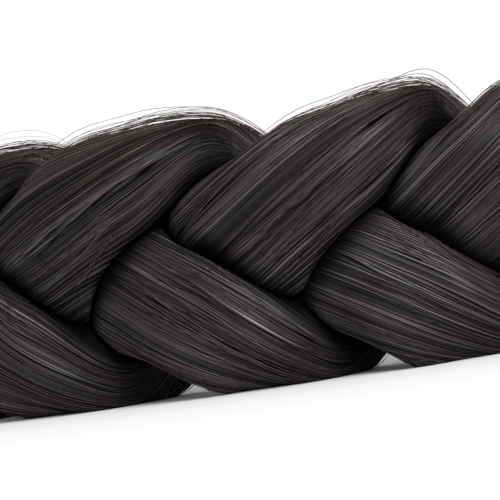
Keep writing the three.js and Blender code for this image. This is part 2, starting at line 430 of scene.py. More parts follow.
        numbers = [(index + step) % self.strand_count for step in range(1, self.strand_count)]
        others = [self.strand_at(number, distance) for number in numbers]
        presses = [self.furthest(shape, lambda share: clears(other, share)) for other in others]
        free = self.furthest(shape, lambda share: share < self.free_reach(*point(share)))
        oval = self.furthest(shape, lambda share: self.oval_depth(*point(share)) < 1 + full)
        limits = (*presses, free, oval)
        reach = sum(limit**-self.roundness for limit in limits) ** (-1 / self.roundness)
        across, outward = point(reach)
        # Painted shade: the light share drops near each seam, over a wider reach on the strand that dives under
        light = np.ones(shape)
        for other, press in zip(others, presses):
            over = (own["outward"] - other["outward"]) * np.sign(outward) / self.heave
            reach_of_shade = self.shade_under + (self.shade_over - self.shade_under) * smooth(over / 1.6 + 0.5)
            away = (press - free) * np.hypot(x, y)
            light = np.minimum(light, smooth(away / reach_of_shade * 0.5 + 0.1))
        return across, outward, np.minimum(*presses) - free, light

    def thinned(self, distance, across, outward):
        """Points beside the middle line, drawn in where the braid thins to its bound ends."""
        full, sizes = self.fullness(distance), self.sizes
        thin_across = sizes.gathered_width / sizes.width
        thin_outward = sizes.gathered_thickness / sizes.thickness
        return across * (thin_across + (1 - thin_across) * full), outward * (thin_outward + (1 - thin_outward) * full)

    def oval_depth(self, across, outward):
        return np.hypot(across / (self.sizes.width / 2), outward / (self.sizes.thickness / 2))


class StrandSurface:
    """The surface of one strand with its locks, by distance along the braid and angle round it."""

    station_step = 0.00086
    angle_count = 176
    angle_step = FULL_TURN / angle_count
    # Limits of the hairs' turning: in quarters of the girth from one angle to the next, and radians a metre
    least_turn = 0.004
    most_turning = 160
    softenings = 1
    # How much painted shade darkens a lobe where it goes over the lower and the upper edge, and the phase at which that
    # starts, in radians, and over which it grows
    edge_shades = (0.72, 0.75)
    shade_starts = (-0.6, -0.05)
    shade_reaches = (1.3, 0.8)
    facing_rate = 14.0
    rim_smoothing = 9
    # Locks round the strand, how much they wander, and their depth as a share of the lock depth
    lock_levels = ((14, 0.8, 12, 0.8), (36, 1.0, 16, 0.55), (80, 1.0, 24, 0.35))
    groove_power = 0.6

    def __init__(self, plait, hair, index):
        self.plait = plait
        self.rng = np.random.default_rng(40 + index)
        count = round((plait.end - plait.start) / self.station_step)
        self.distances = np.linspace(plait.start, plait.end, count)
        self.angles = np.arange(self.angle_count) * FULL_TURN / self.angle_count
        stations = self.distances[:, None]
        grids = plait.section(index, stations, self.angles[None, :])
        across, outward, freedom, light = (self.softened(grid) for grid in grids)
        self.run, self.lobe, turning = self.hair_run(index, stations, across, outward)
        # Painted shade over the edges joins the painted shade of the seams
        light = light * self.painted_edge_shade(across, outward)
        across, outward = plait.thinned(stations, across, outward)
        turn_across, turn_outward = (np.roll(grid, -1, 1) - np.roll(grid, 1, 1) for grid in (across, outward))
        size = np.maximum(np.hypot(turn_across, turn_outward), 1e-9)
        normal_across, normal_outward = turn_outward / size, -turn_across / size
        height = self.locks(hair, self.run / 4) * (0.3 + 0.7 * plait.fullness(stations))
        self.grids = np.stack(
            [
                across + height * normal_across,
                outward + height * normal_outward,
                normal_across,
                normal_outward,
                freedom,
                light,
                turning,
            ]
        )

    def softened(self, grid):
        """The grid with its creases evened out over the neighbouring points."""
        for _ in range(self.softenings):
            rows = np.concatenate([grid[:1], grid, grid[-1:]])
            grid = (rows[:-2] + 2 * grid + rows[2:]) / 4
            grid = (np.roll(grid, -1, 1) + 2 * grid + np.roll(grid, 1, 1)) / 4
        return grid

    def hair_run(self, index, stations, across, outward):
        """The share of the girth that stays the same along each hair, the number of the lobe, and the
        angle by which a hair turns for each metre along the braid."""
        plait = self.plait
        girth = plait.girth(across, outward)
        phase = plait.phase(index, stations)
        early = np.where(outward > 0, math.pi / 4, -math.pi / 4)
        ahead = np.mod(phase + early, math.pi) - early - math.pi / 2
        self.ahead = ahead
        lobe = np.round((phase - ahead) / math.pi - 0.5)
        side = np.where(np.mod(lobe, 2) == 0, -1, 1)
        round_lobe = np.mod(side * girth + 1, 4) - 2
        even, cubic, mixed, spread, bent = plait.run_parts
        own_even, *own_wave = plait.run_sways[index]
        even = even + own_even + plait.sway(stations, own_wave)
        run = round_lobe - even * ahead - cubic * ahead**3 - mixed * ahead**2 * round_lobe
        run -= spread * ahead * round_lobe**2 + bent * round_lobe**3
        by_phase = -even - 3 * cubic * ahead**2 - 2 * mixed * ahead * round_lobe - spread * round_lobe**2
        by_girth = side * (1 - mixed * ahead**2 - 2 * spread * ahead * round_lobe - 3 * bent * round_lobe**2)
        rows = np.mod(np.diff(girth, axis=0) + 2, 4) - 2
        rows = (np.concatenate([rows[:1], rows]) + np.concatenate([rows, rows[-1:]])) / 2
        columns = (np.mod(np.roll(girth, -1, 1) - np.roll(girth, 1, 1) + 2, 4) - 2) / 2
        down, down_step = self.way_down(run, ahead, side, across, outward)
        change = by_phase * np.gradient(phase, axis=0) - ahead * np.gradient(even, axis=0) + by_girth * rows
        change += np.mod(np.gradient(down, axis=0) + 0.5, 1) - 0.5
        turn_step = by_girth * columns + down_step
        turn_step = np.where(np.abs(turn_step) < self.least_turn, np.copysign(self.least_turn, turn_step), turn_step)
        turning = -change / turn_step * self.angle_step / (self.distances[1] - self.distances[0])
        return run + down, lobe, np.clip(turning, -self.most_turning, self.most_turning)

    def painted_edge_shade(self, across, outward):
        """Painted shade: the light share left where a lobe goes over the edge and away from the face that it shows on.
        """
        upper = smooth(across / self.plait.sizes.width + 0.5)
        facing = np.tanh(outward / self.plait.sizes.thickness * self.facing_rate)
        pairs = (self.shade_starts, self.shade_reaches, self.edge_shades)
        start, reach, shade = (low + (high - low) * upper for low, high in pairs)
        return 1 - shade * smooth((self.ahead * facing - start) / reach)

    def way_down(self, run, ahead, side, across, outward):
        """What a strand's steep sides add to its hair's run, from its crest down, and the step of it."""
        quarter = self.plait.quarter_girth
        length = np.hypot(np.roll(across, -1, 1) - across, np.roll(outward, -1, 1) - outward) / quarter
        covered = np.abs(np.mod(np.roll(run, -1, 1) - run + 2, 4) - 2)
        spare = np.maximum(length - covered, 0)
        travelled = np.cumsum(spare, 1) - spare
        total = spare.sum(1, keepdims=True)
        high = side * across / self.plait.sizes.width * np.cos(ahead)
        down = np.zeros(run.shape)
        for facing in (1, -1):
            here = outward * facing > 0
            score = np.where(here, high - outward / self.plait.sizes.thickness * np.sin(ahead), -9)
            crest = np.take_along_axis(travelled, score.argmax(1)[:, None], 1)
            down = np.where(here, np.mod(travelled - crest + total / 2, total) - total / 2, down)
        share = -side * np.sin(ahead) ** 2
        return share * down, share * spare

    def rim(self, upper):
        """The angle of the strand's highest or lowest line at each distance."""
        across = self.grids[0] if upper else -self.grids[0]
        angle = np.unwrap(self.angles[np.argmax(across, axis=1)])
        window = np.ones(self.rim_smoothing) / self.rim_smoothing
        return np.convolve(np.pad(angle, self.rim_smoothing // 2, mode="edge"), window, mode="valid")

    def follow(self, middle, angle, offsets):
        """Angles of the hairs that pass through given places, at even offsets with a middle one of 0."""
        centre = offsets.shape[1] // 2
        found = np.zeros(offsets.shape)
        found[:, centre] = angle[:, 0]
        for way in (1, -1):
            for step in range(1, centre + 1):
                mark = centre + way * step
                start = middle[:, 0] + offsets[:, mark - way]
                length = offsets[:, mark] - offsets[:, mark - way]
                half = found[:, mark - way] + self.sample(start, found[:, mark - way])[6] * length / 2
                found[:, mark] = found[:, mark - way] + self.sample(start + length / 2, half)[6] * length
        return found

    def locks(self, hair, turn):
        """Height of the locks over the smooth surface, by the share of a turn at which each hair runs."""
        share = np.linspace(0, 1, len(self.distances))[:, None] * np.ones_like(turn)
        height = np.zeros((len(self.distances), self.angle_count))
        for count, wander, cells, depth in self.lock_levels:
            place = turn * count + wander * round_noise(self.rng, share, turn, cells, max(3, count // 4))
            fullness = 0.75 + 0.25 * round_noise(self.rng, share, turn, cells, 5)
            ridge = np.abs(np.sin(math.pi * place)) ** self.groove_power
            height += hair.lock_depth * depth * (ridge * fullness - 0.6)
        return height

    def sample(self, distance, angle):
        """Across, outward, the normal's two parts, the freedom, the painted light share and the hair's turning at
        places.
        """
        rows = (distance - self.distances[0]) / (self.distances[-1] - self.distances[0]) * (len(self.distances) - 1)
        rows = np.clip(rows, 0, len(self.distances) - 1.001)
        columns = np.mod(angle / FULL_TURN, 1) * self.angle_count
        low_row, low_column = np.floor(rows).astype(int), np.floor(columns).astype(int)
        row_share, column_share = rows - low_row, columns - low_column
        low_column %= self.angle_count
        high_column = (low_column + 1) % self.angle_count
        low = self.grids[:, low_row, low_column] * (1 - column_share) + self.grids[:, low_row, high_column] * column_share
        high_row = low_row + 1
        high = self.grids[:, high_row, low_column] * (1 - column_share)
        high = high + self.grids[:, high_row, high_column] * column_share
        return low * (1 - row_share) + high * row_share

    def points(self, distance, angle, lift):
        """Places and directions outward over the surface, and the painted light share at them."""
        across, outward, normal_across, normal_outward, _, light, _ = self.sample(distance, angle)
        loop = self.plait.loop
        places = loop.place(distance, across + lift * normal_across, outward + lift * normal_outward)
        return places, loop.direct(distance, normal_across, normal_outward), light


def add_piece(name, points, faces, material, nodes=(), attributes=()):
    """A mesh piece that rides on the headband, with its vertex attributes."""
    mesh = bpy.data.meshes.new(name)
    mesh.from_pydata(np.asarray(points).reshape(-1, 3).tolist(), [], faces)
    for attribute, kind, values in attributes:
        layer = mesh.attributes.new(attribute, kind, "POINT")
        field = "vector" if kind == "FLOAT_VECTOR" else "value"
        layer.data.foreach_set(field, np.asarray(values, dtype=np.float32).reshape(-1))
    mesh.polygons.foreach_set("use_smooth", np.ones(len(mesh.polygons), dtype=bool))
    mesh.materials.append(material)
    mesh.update()
    piece = bpy.data.objects.new(name, mesh)
    bpy.context.scene.collection.objects.link(piece)
    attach(piece, BODY)
    if nodes:
        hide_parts(*nodes)
    return piece


def ring_faces(rings, sides):
    """Faces of a closed tube through rings of points, with flat ends."""
    ring = np.arange(rings - 1)[:, None] * sides
    corner = np.arange(sides)[None, :]
    following = (corner + 1) % sides
    quads = np.stack([ring + corner, ring + following, ring + sides + following, ring + sides + corner], -1)
    faces = quads.reshape(-1, 4).tolist()
    last = (rings - 1) * sides
    faces.append(list(range(sides - 1, -1, -1)))
    faces.append(list(range(last, last + sides)))
    return faces


def unit(vectors):
    return vectors / np.maximum(np.linalg.norm(vectors, axis=-1, keepdims=True), 1e-12)


def fibre_mesh(paths, outward, radius):
    """Three-sided tubes along paths given as (fibre, point, xyz), thin at both ends."""
    fibres, steps = paths.shape[:2]
    along = unit(np.gradient(paths, axis=1))
    side = unit(np.cross(along, outward))
    up = np.cross(side, along)
    share = np.linspace(0, 1, steps)
    thinning = 0.25 + 0.75 * smooth(np.minimum(share, 1 - share) * 6)
    size = np.asarray(radius).reshape(-1, 1, 1) * thinning[None, :, None]
    corners = []
    for turn in (0.25, 0.25 + 1 / 3, 0.25 + 2 / 3):
        corners.append(paths + size * (math.cos(turn * FULL_TURN) * side + math.sin(turn * FULL_TURN) * up))
    points = np.stack(corners, 2)
    one = np.array(ring_faces(steps, 3)[:-2])
    firsts = (np.arange(fibres) * steps * 3)[:, None, None]
    quads = (one[None] + firsts).reshape(-1, 4).tolist()
    starts = (np.array([[2, 1, 0]])[None] + firsts).reshape(-1, 3).tolist()
    last = (steps - 1) * 3
    ends = (np.array([[last, last + 1, last + 2]])[None] + firsts).reshape(-1, 3).tolist()
    return points, quads + starts + ends


def fibre_looks(points, tone, warmth, light):
    """Each fibre's tone and warmth, and the painted light share along it, as attributes of its points."""
    shape = points.shape[:3]
    looks = (
        ("fibre_tone", tone[:, None, None]),
        ("fibre_warmth", warmth[:, None, None]),
        ("fibre_shade", light[:, :, None]),
    )
    return [(name, "FLOAT", np.broadcast_to(values, shape)) for name, values in looks]


class Socket:
    """A node's output in an expression: sums, products and the like add their Math nodes."""

    def __init__(self, surface, output):
        self.surface = surface
        self.output = output

    def math(self, operation, *values):
        numbered = dict(enumerate(values))
        return self.surface.node("ShaderNodeMath", {"operation": operation}, numbered)

    def __add__(self, other):
        return self.math("ADD", self, other)

    def __radd__(self, other):
        return self.math("ADD", other, self)

    def __sub__(self, other):
        return self.math("SUBTRACT", self, other)

    def __rsub__(self, other):
        return self.math("SUBTRACT", other, self)

    def __mul__(self, other):
        return self.math("MULTIPLY", self, other)

    def __rmul__(self, other):
        return self.math("MULTIPLY", other, self)

    def __pow__(self, other):
        return self.math("POWER", self, other)

    def rounded_down(self):
        return self.math("FLOOR", self)

    def stretched(self, low, high):
        """This value, with low turned into 0, high into 1 and what lies beyond cut off."""
        values = {"Value": self, "From Min": low, "From Max": high}
        return self.surface.node("ShaderNodeMapRange", {"clamp": True}, values)


class Surface:
    """A material made of nodes."""

    def __init__(self, name):
        self.material = bpy.data.materials.new(name)
        self.material.use_nodes = True
        self.tree = self.material.node_tree
        self.shader = next(node for node in self.tree.nodes if node.type == "BSDF_PRINCIPLED")

    def find(self, sockets, key):
        if isinstance(key, int):
            return sockets[key]
        return next(socket for socket in sockets if key in (socket.identifier, socket.name))

    def set(self, node, key, value):
        socket = self.find(node.inputs, key)
        if isinstance(value, Socket):
            self.tree.links.new(value.output, socket)
        else:
            socket.default_value = value

    def node(self, kind, settings=(), values=(), output=0):
        """A node with its settings, then its values or links, as the socket of one output."""
        made = self.tree.nodes.new(kind)
        for key, value in dict(settings).items():
            setattr(made, key, value)
        for key, value in dict(values).items():
            self.set(made, key, value)
        return Socket(self, self.find(made.outputs, output))

    def attribute(self, name, output):
        return self.node("ShaderNodeAttribute", {"attribute_name": name}, output=output)

    def scaled(self, vector, factors):
        return self.node("ShaderNodeVectorMath", {"operation": "MULTIPLY"}, {0: vector, 1: factors})

    def noise(self, vector, detail=2.0, roughness=0.5):
        values = {"Vector": vector, "Scale": 1.0, "Detail": detail, "Roughness": roughness}
        return self.node("ShaderNodeTexNoise", (), values)

    def part(self, vector, axis):
        return self.node("ShaderNodeSeparateXYZ", (), {"Vector": vector}, axis)

    def joined(self, x, y, z):
        return self.node("ShaderNodeCombineXYZ", (), {"X": x, "Y": y, "Z": z})

    def random(self, number):
        return self.node("ShaderNodeTexWhiteNoise", {"noise_dimensions": "1D"}, {"W": number}, "Value")

    def mix(self, factor, first, second):
        values = {"Factor_Float": factor, "A_Color": first, "B_Color": second}
        return self.node("ShaderNodeMix", {"data_type": "RGBA"}, values, "Result_Color")

    def bump(self, height, distance, strength=1.0):
        return self.node("ShaderNodeBump", (), {"Height": height, "Distance": distance, "Strength": strength})

    def finish(self, **sockets):
        """Sets the shader's sockets, with underscores for the blanks in their names."""
        for key, value in sockets.items():
            self.set(self.shader, key.replace("_", " "), value)
        return self.material

    def shade(self, lit, dark):
        """Lets the shader show where lit is 1, and a matt dark colour where it is 0: the strands and fibres paint their
        shade with it.
        """
        values = {"Base Color": dark, "Roughness": 1.0, "Specular IOR Level": 0.0}
        shadow = self.node("ShaderNodeBsdfPrincipled", (), values, "BSDF")
        shown = Socket(self, self.shader.outputs["BSDF"])
        mixed = self.node("ShaderNodeMixShader", (), {0: lit, 1: shadow, 2: shown}, "Shader")
        ending = next(node for node in self.tree.nodes if node.type == "OUTPUT_MATERIAL")
        self.set(ending, "Surface", mixed)


def colour(values):
    return (*values, 1.0)


def streaks(surface, vector, width, stretch, detail=2.0):
    """Noise drawn out along the fibres: lines about as wide as given, stretch times as long."""
    return surface.noise(surface.scaled(vector, (1 / width, 1 / width, 1 / (width * stretch))), detail)


def side_by_side(surface, vector, width, length, wander, roundness):
    """Lines laid side by side: how high each one is across its width, and a tone of its own that
    changes slowly along it."""
    sway = surface.noise(surface.scaled(vector, (0.12 / width, 0.12 / width, 1 / length)), 1.0)
    across = surface.part(vector, "X") * (1 / width) + sway * wander
    number = across.rounded_down()
    off_middle = ((across - number) * 2 - 1) ** 2
    height = 1 - off_middle**roundness
    along = surface.part(vector, "Z") * (1 / length)
    slow = surface.noise(surface.joined(number * 3.17, surface.part(vector, "Y") * 300, along), 0.0)
    tone = 0.5 * surface.random(number) + 0.5 * slow.stretched(0.3, 0.7)
    return height, tone


def strand_hair(hair):
    """Packed hair: shiny fibres with painted shade between them, and painted shade darker still where a strand dives
    under.
    """
    surface = Surface("braid_hair")
    place = surface.attribute("fibre_place", "Vector")
    # fibre_shade is painted shade from the seams and edges, not a colour of the hair
    depth = surface.attribute("fibre_shade", "Fac")
    hair_height, hair_tone = side_by_side(surface, place, 0.00036, 0.05, 9.0, 1.0)
    pair_height, pair_tone = side_by_side(surface, place, 0.0008, 0.04, 6.0, 4.0)
    lock_height, lock_tone = side_by_side(surface, place, 0.0019, 0.05, 5.0, 6.0)
    broad = streaks(surface, place, 0.0036, 14, 1.0).stretched(0.3, 0.66)
    warm = streaks(surface, place, 0.0009, 50, 1.0).stretched(0.55, 0.7)
    rim = surface.part(surface.attribute("position", "Vector"), "Z").stretched(0.0355, 0.0405)
    # The lines are darker at their sides: painted shade in the gaps between hairs, pairs of hairs and locks; their
    # tones vary at random
    hairs = hair_height**2.2 * (0.1 + 0.9 * hair_tone**1.7)
    pairs = (0.6 + 0.4 * pair_height) * (0.75 + 0.25 * pair_tone)
    locks = (0.65 + 0.35 * lock_height) * (0.88 + 0.12 * lock_tone) * (1 - 0.25 * rim)
    # The mix to the matt dark colour paints the shade of the gaps and the fibre_shade; the hair is also up to 25%
    # darker towards its top edge
    surface.shade(1.62 * hairs * pairs * locks * (0.9 + 0.1 * broad) * depth, colour(hair.dark))
    base = surface.mix(warm * 0.45 + rim * 0.95, colour(hair.brown), colour(hair.red))
    return surface.finish(
        Base_Color=base,
        Roughness=hair.roughness,
        Normal=surface.bump(hair_tone * 0.4 + pair_height * 0.8 + lock_height, 0.00008, 0.8),
        IOR=hair.gloss,
    )


def fibre_hair(hair):
    """Single fibres, each with its own tone, darkened by the painted shade of the strand they lie on."""
    surface = Surface("fibre_hair")
    tone = surface.attribute("fibre_tone", "Fac")
    # fibre_shade is painted shade from the strand under the fibre
    depth = surface.attribute("fibre_shade", "Fac")
    surface.shade(tone * depth, colour(hair.dark))
    warm = surface.attribute("fibre_warmth", "Fac")
    base = surface.mix(warm, colour(hair.brown), colour(hair.red))
    return surface.finish(Base_Color=base, Roughness=hair.roughness - 0.08, IOR=hair.gloss)


def winding_hair(hair):
    """Hair wound tightly round the ends."""
    surface = Surface("wound_hair")
    place = surface.attribute("fibre_place", "Vector")
    fine = surface.noise(surface.scaled(place, (60.0, 60.0, 5000.0)), 2.0).stretched(0.34, 0.66)
    surface.shade(0.08 + 0.6 * fine, colour(hair.dark))
    base = surface.mix(fine, colour(hair.dark), colour(hair.brown))
    return surface.finish(
        Base_Color=base,
        Roughness=hair.roughness + 0.08,
        Normal=surface.bump(fine, 0.00014, 0.9),
        IOR=1.5,
    )


def woven_elastic(ties):
    """Matt woven elastic with fine cross threads."""
    surface = Surface("woven_elastic")
    place = surface.attribute("fibre_place", "Vector")
    settings = {"wave_type": "BANDS", "bands_direction": "X", "wave_profile": "SIN"}
    threads = surface.node("ShaderNodeTexWave", settings, {"Vector": place, "Scale": 520.0, "Distortion": 0.4})
    fuzz = surface.noise(surface.scaled(place, (5000.0, 5000.0, 5000.0)), 2.0)
    base = surface.mix(threads, (0.004, 0.004, 0.004, 1.0), colour(ties.elastic_colour))
    return surface.finish(
        Base_Color=base,
        Roughness=0.85,
        Normal=surface.bump(threads * 0.7 + fuzz * 0.4, 0.0002, 0.8),
    )


class StrandsOperator(bpy.types.Operator):
    """Makes the three strands of the plait, with their locks"""

    bl_idname = "headband.make_strands"
    bl_label = "Strands"
    lobe_offset = 0.01

    def execute(self, context):
        scene = context.scene
        plait = Plait(scene)
        material = strand_hair(scene.headband_hair)
        for index in range(plait.strand_count):
            surface = StrandSurface(plait, scene.headband_hair, index)
            distance, angle = np.broadcast_arrays(surface.distances[:, None], surface.angles[None, :])
            points, _, light = surface.points(distance, angle, 0)
            along = distance + index * plait.loop.length
            places = np.stack([surface.run * plait.quarter_girth, surface.lobe * self.lobe_offset, along], -1)
            faces = ring_faces(len(surface.distances), surface.angle_count)
            # fibre_shade carries the painted shade of the seams and the edges into the hair's material
            attributes = [("fibre_place", "FLOAT_VECTOR", places), ("fibre_shade", "FLOAT", light)]
            number = index + 1
            add_piece(f"hair_strand_{number}", points, faces, material, [f"strand_{number}"], attributes)
        return {"FINISHED"}


class InnerHairOperator(bpy.types.Operator):
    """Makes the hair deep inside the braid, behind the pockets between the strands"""

    bl_idname = "headband.make_inner_hair"
    bl_label = "Inner hair"
    step = 0.003
    sides = 24
    height_share = 0.21
    depth_share = 0.05

    def execute(self, context):
        scene = context.scene
        plait = Plait(scene)
        margin = 0.004
        count = round((plait.end - plait.start) / self.step)
        distance = np.linspace(plait.start + margin, plait.end - margin, count)[:, None]
        angle = np.linspace(0, FULL_TURN, self.sides, endpoint=False)[None, :]
        across = self.height_share * plait.sizes.width * np.cos(angle) * np.ones_like(distance)
        outward = self.depth_share * plait.sizes.thickness * np.sin(angle) * np.ones_like(distance)
        across, outward = plait.thinned(distance, across, outward)
        points = plait.loop.place(distance, across, outward)
        places = np.stack(np.broadcast_arrays(across, outward, distance), -1)
        # The inner hair fills the braid, and a constant painted shade of 0.15 makes it as dark as the shade deep in the
        # pockets
        attributes = [
            ("fibre_place", "FLOAT_VECTOR", places),
            ("fibre_shade", "FLOAT", np.full(across.shape, 0.15)),
        ]
        faces = ring_faces(count, self.sides)
        material = strand_hair(scene.headband_hair)
        add_piece("inner_hair", points, faces, material, (), attributes)
        return {"FINISHED"}


class FibresOperator(bpy.types.Operator):
    """Lays fine fibres over the strands where they show"""

    bl_idname = "headband.make_fibres"
    bl_label = "Fibres"
    steps = 19
    marks = 45
    reach = 0.031
    shortest = 0.008
    drift = 3.0
    wobble = 0.02
    least_freedom = -0.03
    bunch_size = 16
    bunch_share = 0.45
    bunch_width = 0.07
    bunch_drift = (4.0, 13.0)

    def execute(self, context):
        scene = context.scene
        hair = scene.headband_hair
        plait = Plait(scene)
        material = fibre_hair(hair)
        for index in range(plait.strand_count):
            surface = StrandSurface(plait, hair, index)
            rng = np.random.default_rng(70 + index)
            distance, angle, slope = self.choose(rng, surface, hair.fibre_count)
            count = len(distance)
            share = np.linspace(-1, 1, self.steps)[None, :]
            wave = rng.uniform(-self.wobble, self.wobble, (count, 1)) * np.sin(
                FULL_TURN * (share + rng.uniform(0, 1, (count, 1)))
            )
            turn = slope * (distance - distance.mean(1, keepdims=True)) + wave
            lift = hair.fibre_radius * rng.uniform(0.2, 1.6, (count, 1))
            places, outward, light = surface.points(distance, angle + turn, lift)
            radius = hair.fibre_radius * rng.uniform(0.6, 1.15, count)
            points, faces = fibre_mesh(places, outward, radius)
            attributes = fibre_looks(points, rng.beta(0.9, 1.1, count), rng.beta(0.6, 2.2, count), light)
            add_piece(f"fibres_{index + 1}", points, faces, material, (), attributes)
        return {"FINISHED"}

    def starts(self, rng, surface, count):
        """Middles, angles and drifts of single fibres and of bunches that run askew."""
        plait = surface.plait
        middle = rng.uniform(plait.start, plait.end, (count, 1))
        angle = rng.uniform(0, FULL_TURN, (count, 1))
        slope = rng.uniform(-self.drift, self.drift, (count, 1))
        bunched = int(count * self.bunch_share) // self.bunch_size * self.bunch_size
        leader = np.arange(bunched) // self.bunch_size * self.bunch_size
        askew = rng.choice((-1, 1), count) * rng.uniform(*self.bunch_drift, count)
        middle[:bunched] = middle[leader] + rng.normal(0, 0.004, (bunched, 1))
        angle[:bunched] = angle[leader] + rng.normal(0, self.bunch_width, (bunched, 1))
        slope[:bunched] = askew[leader, None] + slope[:bunched] * 0.5
        return np.clip(middle, plait.start, plait.end), angle, slope

    def choose(self, rng, surface, count):
        """Distances, angles and drifts along fibres that run where the strand shows."""
        plait = surface.plait
        middle, angle, slope = self.starts(rng, surface, count * 4)
        shows = surface.sample(middle, angle)[4][:, 0] > self.least_freedom
        order = rng.permutation(np.flatnonzero(shows))[: count * 5 // 4]
        middle, angle, slope = middle[order], angle[order], slope[order]
        offsets = np.linspace(-self.reach, self.reach, self.marks)[None, :] * np.ones_like(middle)
        angles = surface.follow(middle, angle, offsets)
        shown = surface.sample(np.clip(middle + offsets, plait.start, plait.end), angles)[4] > self.least_freedom
        centre = self.marks // 2
        ahead = np.cumprod(shown[:, centre:], axis=1).sum(1) - 1
        behind = np.cumprod(shown[:, centre::-1], axis=1).sum(1) - 1
        mark_step = 2 * self.reach / (self.marks - 1)
        lowest = np.maximum(centre + (plait.start - middle[:, 0]) / mark_step, 0)
        highest = np.minimum(centre + (plait.end - middle[:, 0]) / mark_step, self.marks - 1)
        first = np.maximum(centre - behind - rng.uniform(-4, 1, len(middle)), lowest)
        last = np.minimum(centre + ahead + rng.uniform(-4, 1, len(middle)), highest)
        keep = np.flatnonzero((last - first) * mark_step > self.shortest)[:count]
        distances, found = [], []
        for number in keep:
            places = np.linspace(first[number], last[number], self.steps)
            found.append(np.interp(places, np.arange(self.marks), angles[number]))
            distances.append(middle[number, 0] + (places - centre) * mark_step)
        return np.array(distances), np.array(found), slope[keep]


class StrayHairsOperator(bpy.types.Operator):
    """Makes the loose hairs that stand off the lobes"""

    bl_idname = "headband.make_stray_hairs"
    bl_label = "Loose hairs"
    steps = 23
    upper_hairs = 34
    lower_hairs = 6

    def execute(self, context):
        scene = context.scene
        hair = scene.headband_hair
        plait = Plait(scene)
        groups = []
        for index in range(plait.strand_count):
            surface = StrandSurface(plait, hair, index)
            rng = np.random.default_rng(110 + index)
            for middle, upper in self.lobes(plait, index):
                groups.append(self.bunch(rng, surface, middle, upper))
        places, outward, tone = (np.concatenate(parts) for parts in zip(*groups))
        rng = np.random.default_rng(190)
        points, faces = fibre_mesh(places, outward, hair.stray_radius * rng.uniform(0.6, 1.5, len(places)))
        attributes = fibre_looks(points, tone, rng.uniform(0.4, 1.0, len(tone)), np.ones(places.shape[:2]))
        add_piece("loose_hairs", points, faces, fibre_hair(hair), (), attributes)
        return {"FINISHED"}

    def lobes(self, plait, index):
        """The distance at which the strand is at each edge, and whether that is the upper one."""
        phases = plait.phase(index, plait.phase_marks)
        turn = np.ceil((phases[0] - FULL_TURN / 4) / (FULL_TURN / 2))
        found = []
        while True:
            phase = FULL_TURN / 4 + turn * FULL_TURN / 2
            if phase > phases[-1]:
                return found
            distance = np.interp(phase, phases, plait.phase_marks)
            if plait.fullness(distance) > 0.6:
                found.append((distance, math.sin(phase) < 0))
            turn += 1

    def bunch(self, rng, surface, middle, upper):
        """Loose hairs over one lobe: each leaves the surface, rises a little and comes back."""
        count = self.upper_hairs if upper else self.lower_hairs
        share = np.linspace(0, 1, self.steps)[None, :]
        length = rng.uniform(0.022, 0.042, (count, 1))
        centre = middle + rng.normal(0.0032, 0.0035, (count, 1))
        offset = length * (share - 0.5)
        rim = np.interp(centre + offset, surface.distances, surface.rim(upper))
        angle = rim + rng.normal(0, 0.16, (count, 1)) + rng.normal(0, 5, (count, 1)) * offset
        height = rng.gamma(1.6, 0.00048, (count, 1)) * (1.0 if upper else 0.6)
        rise = np.sin(math.pi * share ** rng.uniform(0.75, 1.3, (count, 1))) ** 1.1
        lift = 0.00002 + height * rise
        places, outward, _ = surface.points(centre + offset, angle, lift)
        return places, outward, rng.uniform(0.2, 0.9, count)


class WindingsOperator(bpy.types.Operator):
    """Makes the hair wound round both ends"""

    bl_idname = "headband.make_windings"
    bl_label = "Wound ends"
    rings = 100
    sides = 96
    turns = 7
    groove = 0.0005

    def execute(self, context):
        scene = context.scene
        ties = scene.headband_ties
        plait = Plait(scene)
        material = winding_hair(scene.headband_hair)
        near = ties.elastic_span / 2
        far = plait.loop.length - near - ties.wrap_length
        for side, start in (("left", near), ("right", far)):
            points, places = self.shape(plait, ties, start)
            attributes = [("fibre_place", "FLOAT_VECTOR", places)]
            faces = ring_faces(self.rings, self.sides)
            nodes = [f"end_wrap_{side}"]
            add_piece(f"wound_end_{side}", points, faces, material, nodes, attributes)
        return {"FINISHED"}

    def shape(self, plait, ties, start):
        """A crowned barrel of slanting turns, rounded in at both ends."""
        sizes = plait.sizes
        share = np.linspace(0, 1, self.rings)[:, None]
        turn = np.linspace(0, 1, self.sides, endpoint=False)[None, :]
        wound = share * self.turns + turn
        ridge = np.abs(np.sin(math.pi * wound)) ** 0.5
        crown = ties.wrap_wall + ties.wrap_crown * (1 - (2 * share - 1) ** 2)
        rounding = np.sqrt(np.clip(1 - np.clip(np.abs(2 * share - 1) * 1.12 - 0.12, 0, 1) ** 6, 0, 1))
        wall = (crown + self.groove * (ridge - 0.85)) * rounding
        closing = np.where(rounding < 0.02, 0.6, 1.0)
        half_across = (sizes.gathered_width / 2 + ties.clearance) * closing + wall
        half_outward = (sizes.gathered_thickness / 2 + ties.clearance) * closing + wall
        angle = turn * FULL_TURN
        distance = np.broadcast_to(start + ties.wrap_length * share, wound.shape)
        points = plait.loop.place(distance, half_across * np.cos(angle), half_outward * np.sin(angle))
        radius = np.broadcast_to(half_across, wound.shape)
        slope = share * ties.wrap_length + turn * ties.wrap_length / self.turns
        places = np.stack([radius * np.cos(angle), radius * np.sin(angle), slope], -1)
        return points, places


